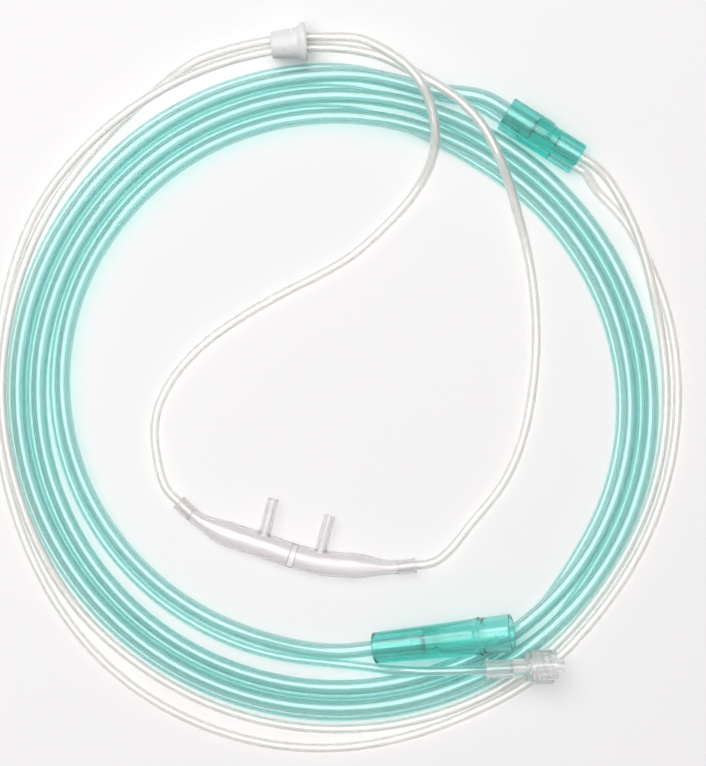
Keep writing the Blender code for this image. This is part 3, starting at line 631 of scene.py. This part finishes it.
# ---------------------------------------------------------------------------------------------
# Nasal piece. Soft clear PVC, dip moulded: a bow with a rolled lip at each neck, two prongs that
# point up the nose and a wall between them that keeps the two gas paths apart.
NASAL_NECK_R = 2.35 * MM
NASAL_BODY_WIDE = 4.1 * MM
NASAL_BODY_HIGH = 3.3 * MM
NASAL_NECK_SHARE = 0.09
NASAL_SWELL_SHARE = 0.16
NASAL_SKIN = 0.75 * MM
NASAL_LIP = 0.28 * MM
NASAL_LIP_SHARE = 0.006
PRONG_R = 1.95 * MM
PRONG_BORE_R = 1.15 * MM
PRONG_PLACES = (0.377, 0.61)
PRONG_LENGTH = 15.5 * MM
PRONG_HEADING = math.radians(75.5)
PRONG_RISE = math.radians(6)
SEPTUM_HALF = 0.01
SEPTUM_PLACE = 0.505


def bow(first, last, skin, sides=64):
    """Grid of ellipses square to the bow's middle line between two shares of its length. Their
    half sizes go from the neck's to the body's by smoothstep, less a skin; a lip of the form
    exp(-(d / NASAL_LIP_SHARE)^2) stands up a share d from each end."""
    share = np.linspace(first, last, math.ceil((last - first) * 220) + 1)
    centre = nasal_points(share)
    _, across, _ = path_frames(centre)
    edge = np.minimum(share, 1 - share)
    swell = smoothstep((edge - NASAL_NECK_SHARE) / NASAL_SWELL_SHARE)
    lip = (NASAL_LIP if skin == 0 else 0.0) * np.exp(-(edge / NASAL_LIP_SHARE) ** 2)
    wide = NASAL_NECK_R + lip + (NASAL_BODY_WIDE - NASAL_NECK_R) * swell - skin
    high = NASAL_NECK_R + lip + (NASAL_BODY_HIGH - NASAL_NECK_R) * swell - skin
    turn = np.linspace(0, 2 * np.pi, sides, endpoint=False)[None, :, None]
    level = wide[:, None, None] * np.cos(turn) * across[:, None]
    return centre[:, None] + level + high[:, None, None] * np.sin(turn) * (0.0, 0.0, 1.0)


def in_frame(matrix, mesh):
    """The mesh, carried from a frame's own axes into the set's."""
    mesh.transform(Matrix(matrix))
    return mesh


prongs = [frame_along(nasal_points((share,))[0], PRONG_HEADING, PRONG_RISE)
          for share in PRONG_PLACES]
prong_outline = softened((
    (0.4 * MM, 0.2 * MM, 0.02 * MM), (0.4 * MM, PRONG_R + 0.5 * MM, 0.1 * MM),
    (4.2 * MM, PRONG_R, 0.8 * MM), (PRONG_LENGTH, PRONG_R - 0.12 * MM, 0.5 * MM),
    (PRONG_LENGTH, 0.2 * MM, 0.02 * MM)), 0.5 * MM)
neck_sockets = []
for inner, outer in ((0.05, 0.0), (0.95, 1.0)):
    pair = nasal_points((inner, outer))
    inward = pair[0] - pair[1]
    socket = frame_along(pair[1], math.atan2(inward[1], inward[0]))
    neck_sockets.append(in_frame(socket, rod(
        -1 * MM, NASAL_SOCKET_DEPTH, LARIAT_TUBE_R + SOCKET_PLAY)))
nasal_mesh = moulded_as_one(
    "nasal_piece_moulding",
    grid_mesh("bow", bow(0.0, 1.0, 0.0), ring_rows=False),
    [in_frame(prong, grid_mesh("prong", turned(prong_outline, 64))) for prong in prongs],
    [grid_mesh("duct", bow(0.07, SEPTUM_PLACE - SEPTUM_HALF, NASAL_SKIN), ring_rows=False),
     grid_mesh("duct", bow(SEPTUM_PLACE + SEPTUM_HALF, 0.93, NASAL_SKIN), ring_rows=False),
     *(in_frame(prong, rod(0.2 * MM, PRONG_LENGTH + 1 * MM, PRONG_BORE_R))
       for prong in prongs),
     *neck_sockets],
    voxel=0.22 * MM, passes=4)
clear_moulded = moulded_plastic(
    "clear_moulded_pvc", ("#faf8f9", "#f4f1f2"), 0.84, ((0.84, 0.82, 0.83, 1.0), 40.0),
    roughness=0.19, grain_mm=1.1, grain_depth=0.014 * MM)
add_piece("nasal_piece_moulding", nasal_mesh, clear_moulded, "cannula_set",
          "clear_moulding", "nasal_piece")

# ---------------------------------------------------------------------------------------------
# Oxygen funnel. The same clear teal PVC, moulded as a long cone with a ring round it near the
# mouth; the oxygen tube is glued into its tail and a flowmeter's barb is pushed into its mouth.
FUNNEL_LENGTH = 45 * MM
FUNNEL_TAIL_R = 5.0 * MM
FUNNEL_MOUTH_R = 6.1 * MM
FUNNEL_SHOULDER = 34.5 * MM
FUNNEL_SHOULDER_WIDE = 0.45 * MM
FUNNEL_THROAT_R = 2.0 * MM
FUNNEL_THROAT_END = 20 * MM
funnel_bore = FUNNEL_MOUTH_R - 1.3 * MM
funnel_socket = OXYGEN_TUBE_R + SOCKET_PLAY
funnel_ring = FUNNEL_TAIL_R + (FUNNEL_MOUTH_R - FUNNEL_TAIL_R) * FUNNEL_SHOULDER / FUNNEL_LENGTH
funnel_outline = softened((
    (0, funnel_socket, 0.2 * MM), (0, FUNNEL_TAIL_R, 0.6 * MM),
    (FUNNEL_SHOULDER - 1.2 * MM, funnel_ring, 0.5 * MM),
    (FUNNEL_SHOULDER, funnel_ring + FUNNEL_SHOULDER_WIDE, 0.5 * MM),
    (FUNNEL_SHOULDER + 1.2 * MM, funnel_ring, 0.5 * MM),
    (FUNNEL_LENGTH, FUNNEL_MOUTH_R, 0.45 * MM), (FUNNEL_LENGTH, funnel_bore, 0.45 * MM),
    (FUNNEL_SHOULDER + 2.5 * MM, funnel_bore - 0.3 * MM, 0.9 * MM),
    (FUNNEL_SHOULDER - 1 * MM, funnel_bore - 0.9 * MM, 0.9 * MM),
    (FUNNEL_THROAT_END + 2 * MM, funnel_bore - 2 * MM, 0.7 * MM),
    (FUNNEL_THROAT_END, FUNNEL_THROAT_R, 0.5 * MM),
    (FUNNEL_SOCKET_DEPTH, FUNNEL_THROAT_R, 0.2 * MM),
    (FUNNEL_SOCKET_DEPTH, funnel_socket, 0.2 * MM)), 0.35 * MM)
funnel_piece = add_piece(
    "oxygen_funnel_moulding",
    grid_mesh("oxygen_funnel_moulding", moved(FUNNEL, turned(funnel_outline, 128))),
    green_moulded, "cannula_set", "green_moulding", "oxygen_funnel")

# ---------------------------------------------------------------------------------------------
# Luer body. Clear rigid PVC, moulded in one piece: a rimmed socket for the sampling tube, a thin
# flange, a neck that the collar turns on, a stop and the tapered tip.
luer_outline = softened(np.array((
    (0, 1.8, 0.15), (0, 3.5, 0.35), (1.6, 3.5, 0.3), (1.6, 2.9, 0.15), (13, 2.9, 0.3),
    (13, 4.6, 0.25), (14.2, 4.6, 0.25), (14.2, 2.5, 0.15), (17.2, 2.5, 0.12),
    (17.2, 3.1, 0.15), (18.2, 3.1, 0.2), (18.2, 2.2, 0.12), (25.4, 1.97, 0.25),
    (25.4, 0.9, 0.2), (9, 0.9, 0.12), (9, 1.8, 0.12))) * MM, 0.3 * MM)
clear_rigid = moulded_plastic(
    "clear_rigid_pvc", ("#fefefe", "#f8f8f8"), 0.84, ((0.85, 0.88, 0.88, 1.0), 40.0),
    roughness=0.045, grain_mm=1.4, grain_depth=0.008 * MM)
luer_piece = add_piece(
    "luer_body_moulding",
    grid_mesh("luer_body_moulding", moved(LUER, turned(luer_outline, 128))),
    clear_rigid, "cannula_set", "clear_rigid", "luer_body")

# ---------------------------------------------------------------------------------------------
# Luer collar. The same clear rigid PVC, a turning sleeve with grip ribs outside and a double lock
# thread inside; it is snapped over the luer body's neck and held by its stop.
LUER_COLLAR_START = 14.6 * MM
LUER_COLLAR_END = 22.9 * MM
LUER_COLLAR_R = 5.1 * MM
LUER_COLLAR_BORE_R = 3.9 * MM
FLAT = 0.05 * MM
LUER_RIBS = 12
LUER_RIB_HIGH = 0.35 * MM
LUER_THREAD_HIGH = 0.38 * MM
LUER_THREAD_LEAD = 5.08 * MM
collar_outline = softened(np.array((
    (14.6, 2.8, 0.2), (14.6, 5.1, 0.5), (22.9, 5.1, 0.35), (22.9, 3.9, 0.3),
    (16.4, 3.9, 0.3), (16.4, 2.8, 0.2))) * MM, 0.22 * MM)


def ribbed(outline, sides=216):
    """Grid of the collar. Outside, the radius grows by rib * smoothstep((cos(12 turn) - 0.3) /
    0.35) between the ends; in the bore it shrinks by the thread along 2 turn - 4 pi x / lead."""
    turn = np.linspace(0, 2 * np.pi, sides, endpoint=False)
    x, r = outline[:, 0, None], outline[:, 1, None]
    inside_ends = smoothstep((x - LUER_COLLAR_START - 1.1 * MM) / (0.5 * MM))
    inside_ends = inside_ends * smoothstep((LUER_COLLAR_END - 1.1 * MM - x) / (0.5 * MM))
    rib = smoothstep((np.cos(LUER_RIBS * turn) - 0.3) / 0.35)
    wave = np.cos(2 * turn - 4 * np.pi * x / LUER_THREAD_LEAD)
    thread = smoothstep((wave - 0.35) / 0.4) * smoothstep((x - 17.2 * MM) / (0.8 * MM))
    thread = thread * smoothstep((LUER_COLLAR_END - 0.4 * MM - x) / (0.6 * MM))
    on_skin = r > LUER_COLLAR_R - FLAT
    in_bore = abs(r - LUER_COLLAR_BORE_R) < FLAT
    r = r + on_skin * inside_ends * rib * LUER_RIB_HIGH - in_bore * thread * LUER_THREAD_HIGH
    return np.stack([x + 0 * turn, r * np.cos(turn), r * np.sin(turn)], -1)


collar_piece = add_piece(
    "luer_collar_moulding",
    grid_mesh("luer_collar_moulding", moved(LUER, ribbed(collar_outline))),
    clear_rigid, "luer_collar", "clear_rigid", "luer_collar")

# ---------------------------------------------------------------------------------------------
# Floor, world and lamps. A white paper table under a big overhead softbox and a weaker key from
# the upper left, which throws the soft shadows to the lower right.
floor_mesh = bpy.data.meshes.new("floor")
FLOOR_HALF = 2.0
FLOOR_Z = -0.05 * MM
floor_mesh.from_pydata([(x * FLOOR_HALF, y * FLOOR_HALF, FLOOR_Z)
                        for x, y in ((-1, -1), (1, -1), (1, 1), (-1, 1))], [], [(0, 1, 2, 3)])
floor = bpy.data.objects.new("floor", floor_mesh)
scene.collection.objects.link(floor)
paper = bpy.data.materials.new("white_paper")
paper.use_nodes = True
paper_shader = paper.node_tree.nodes["Principled BSDF"]
paper_shader.inputs["Base Color"].default_value = linear("#f4f3f3")
paper_shader.inputs["Roughness"].default_value = 0.9
paper_shader.inputs["Specular IOR Level"].default_value = 0.1
floor_mesh.materials.append(paper)

world = bpy.data.worlds.new("studio")
world.use_nodes = True
world.node_tree.nodes["Background"].inputs["Color"].default_value = linear("#faf8f7")
world.node_tree.nodes["Background"].inputs["Strength"].default_value = 0.33
scene.world = world


def add_softbox(name, place_m, size, radiance, colour="#ffffff"):
    """A square lamp aimed at the set; its power is radiance * pi * area."""
    lamp = bpy.data.lights.new(name, "AREA")
    lamp.shape = "SQUARE"
    lamp.size = size
    lamp.energy = radiance * math.pi * size**2
    lamp.color = linear(colour)[:3]
    holder = bpy.data.objects.new(name, lamp)
    holder.location = place_m
    aim = Vector((0, 0, 0)) - Vector(place_m)
    holder.rotation_euler = aim.to_track_quat("-Z", "Y").to_euler()
    scene.collection.objects.link(holder)
    return holder


add_softbox("overhead_softbox", (-0.35, 0.40, 1.6), 1.6, 3.1)
add_softbox("key_softbox", (-0.9, 1.0, 1.3), 0.5, 3.5)

scene.view_settings.view_transform = "Standard"
scene.cycles.max_bounces = 32
scene.cycles.transmission_bounces = 32
scene.cycles.transparent_max_bounces = 48
